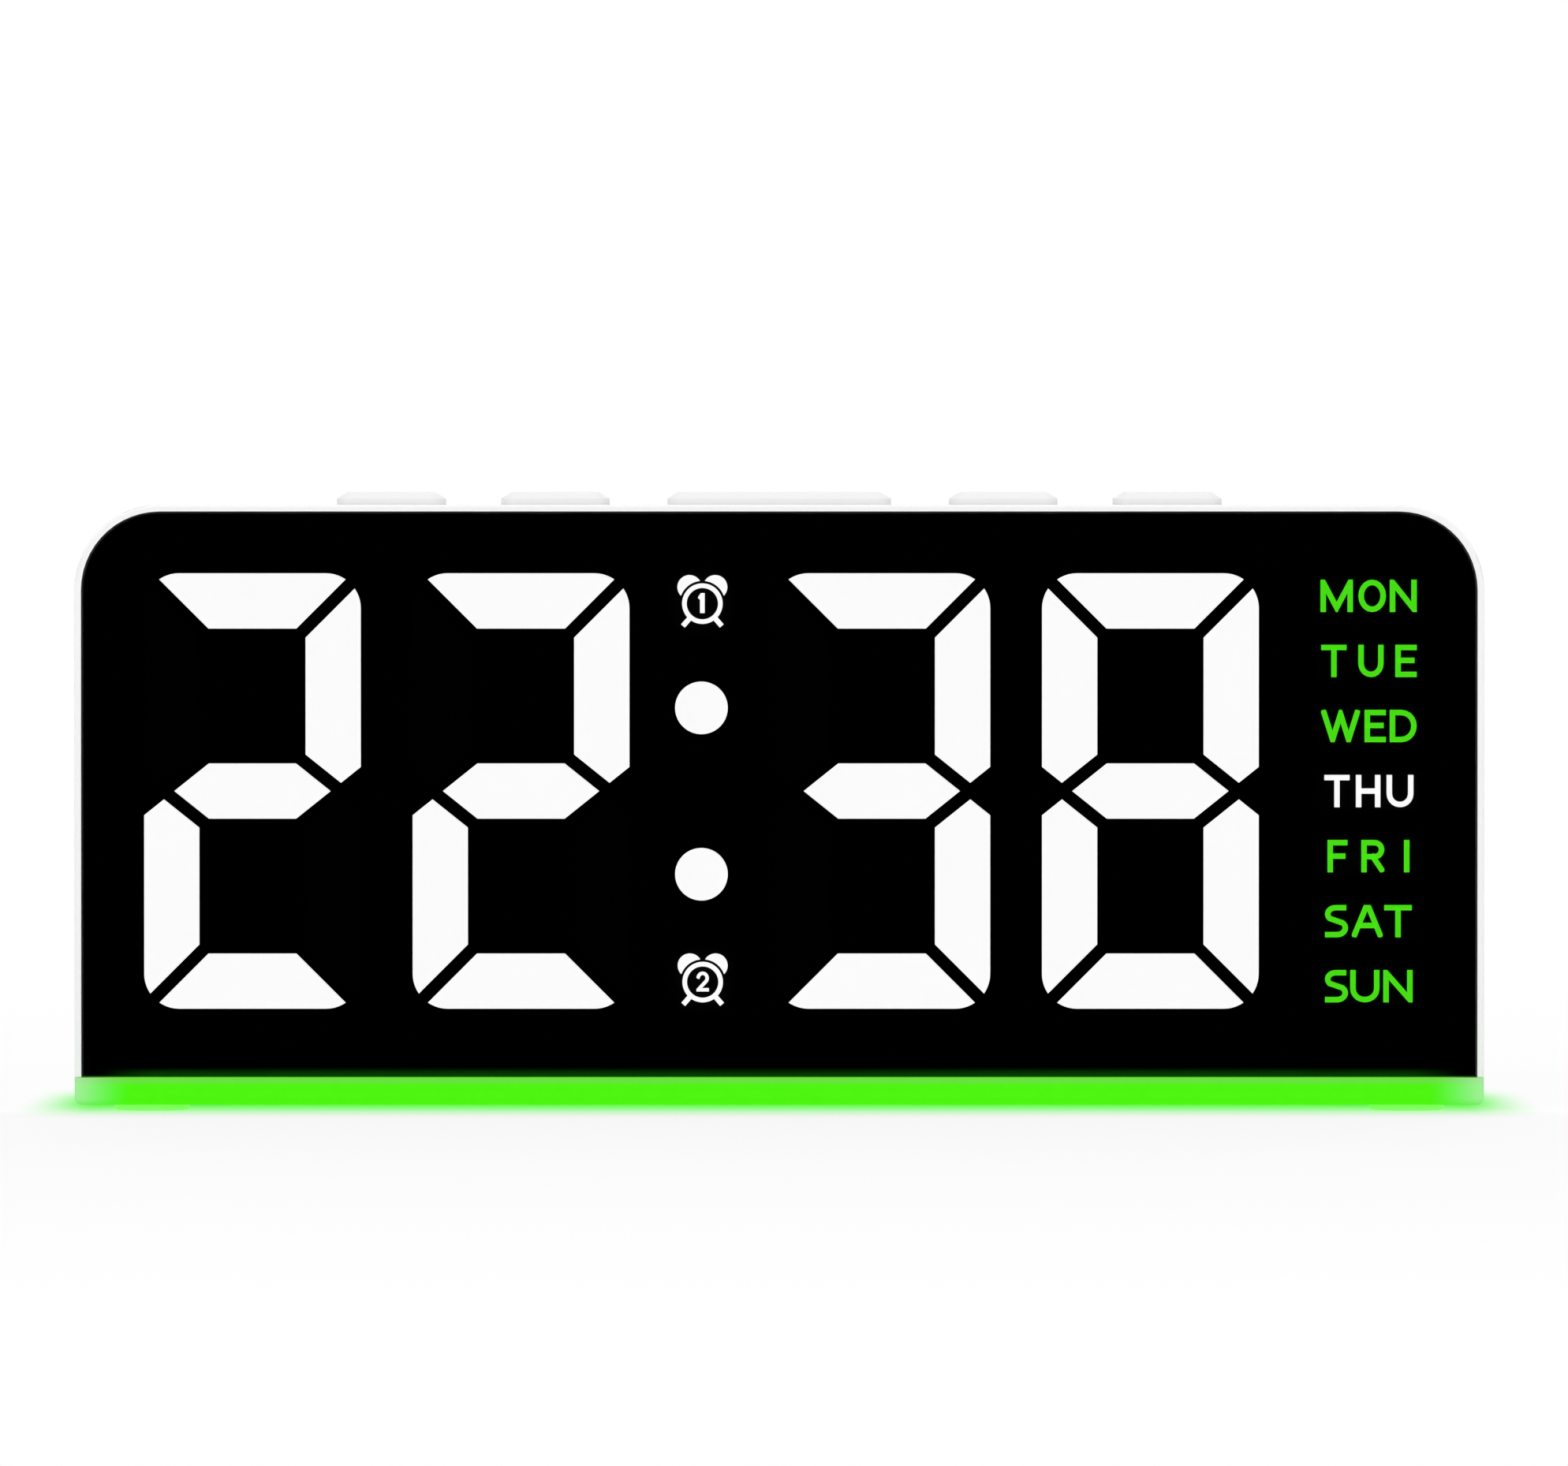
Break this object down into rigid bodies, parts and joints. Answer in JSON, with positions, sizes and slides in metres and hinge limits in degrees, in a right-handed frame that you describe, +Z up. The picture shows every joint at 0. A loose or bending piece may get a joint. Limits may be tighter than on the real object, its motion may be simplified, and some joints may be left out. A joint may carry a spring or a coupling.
{
  "type": "digital alarm clock",
  "caption": "Desk alarm clock with a flat black display of large lit digits, weekday names, low keys along the top and a glowing light bar under the case.",
  "frame": {"origin": "middle of the footprint, on the surface that the clock stands on", "axes": "+X to the viewer's right along the case, +Y from the display to the back, +Z up"},
  "size_m": [0.15, 0.036, 0.066],
  "materials": {
    "case_white": "satin moulded white ABS",
    "key_white": "fine matt light grey-white",
    "lens_smoke": "smoked acrylic, polished",
    "mask_black": "black printed film",
    "frame_black": "moulded black",
    "segment_white": "frosted, lit from behind",
    "symbol_window": "frosted, lit from behind",
    "weekday_green": "frosted, lit green from behind",
    "base_frosted": "frosted, glowing green",
    "foot_silicone": "translucent silicone",
    "board_green": "solder mask",
    "board_white": "white solder mask",
    "led_white": "clear over phosphor",
    "chip_black": "moulded",
    "header_black": "moulded",
    "switch_black": "moulded",
    "plunger_black": "moulded",
    "sounder_black": "moulded",
    "can_steel": "drawn shell",
    "can_aluminium": "drawn can",
    "contact_nickel": "nickel-plated spring strip",
    "screw_steel": "zinc plated",
    "cell_label": "plain shrink label",
    "wire_red": "insulated wire",
    "wire_black": "insulated wire"
  },
  "bodies": {
    "case": {"front_housing": "case_white", "rear_cover": "case_white", "front_lens": "lens_smoke", "display_mask": "mask_black", "reflector_frame": "frame_black", "colon_dots": "segment_white", "alarm_windows": "symbol_window", "weekday_windows": "weekday_green", "display_board": "board_green", "key_board": "board_green", "power_board": "board_green", "light_board": "board_white", "segment_leds": "led_white", "symbol_leds": "led_white", "light_leds": "led_white", "controller_chip": "chip_black", "clock_crystal": "can_steel", "supply_capacitor": "can_aluminium", "key_header": "header_black", "power_header": "header_black", "light_header": "header_black", "usb_socket": "can_steel", "usb_tongue": "chip_black", "base_diffuser": "base_frosted", "feet": "foot_silicone", "battery_contacts": "contact_nickel", "battery_wires": "wire_red", "sounder": "sounder_black", "sounder_wires": "wire_black", "case_screws": "screw_steel", "board_screws": "screw_steel", "base_screws": "screw_steel", "digit_1_segments": "segment_white", "digit_2_segments": "segment_white", "digit_3_segments": "segment_white", "digit_4_segments": "segment_white", "battery_1": "cell_label", "battery_2": "cell_label", "battery_3": "cell_label", "set_switch": "switch_black", "alarm_switch": "switch_black", "snooze_switch": "switch_black", "up_switch": "switch_black", "down_switch": "switch_black"},
    "battery_door": {"battery_door": "case_white"},
    "set_key": {"set_button": "key_white", "set_plunger": "plunger_black"},
    "alarm_key": {"alarm_button": "key_white", "alarm_plunger": "plunger_black"},
    "snooze_key": {"snooze_button": "key_white", "snooze_plunger": "plunger_black"},
    "up_key": {"up_button": "key_white", "up_plunger": "plunger_black"},
    "down_key": {"down_button": "key_white", "down_plunger": "plunger_black"}
  },
  "joints": [
    {"name": "set_press", "type": "slide", "parent": "case", "child": "set_key", "axis": [0, 0, -1], "range_m": [0, 0.0005], "stiffness_N_per_m": 400, "springref_m": -0.0005},
    {"name": "alarm_press", "type": "slide", "parent": "case", "child": "alarm_key", "axis": [0, 0, -1], "range_m": [0, 0.0005], "stiffness_N_per_m": 400, "springref_m": -0.0005},
    {"name": "snooze_press", "type": "slide", "parent": "case", "child": "snooze_key", "axis": [0, 0, -1], "range_m": [0, 0.0005], "stiffness_N_per_m": 400, "springref_m": -0.0005},
    {"name": "up_press", "type": "slide", "parent": "case", "child": "up_key", "axis": [0, 0, -1], "range_m": [0, 0.0005], "stiffness_N_per_m": 400, "springref_m": -0.0005},
    {"name": "down_press", "type": "slide", "parent": "case", "child": "down_key", "axis": [0, 0, -1], "range_m": [0, 0.0005], "stiffness_N_per_m": 400, "springref_m": -0.0005},
    {"name": "door_swing", "type": "hinge", "parent": "case", "child": "battery_door", "pos_m": [0, 0.018, 0.0128], "axis": [-1, 0, 0], "range_deg": [0, 75]}
  ]
}
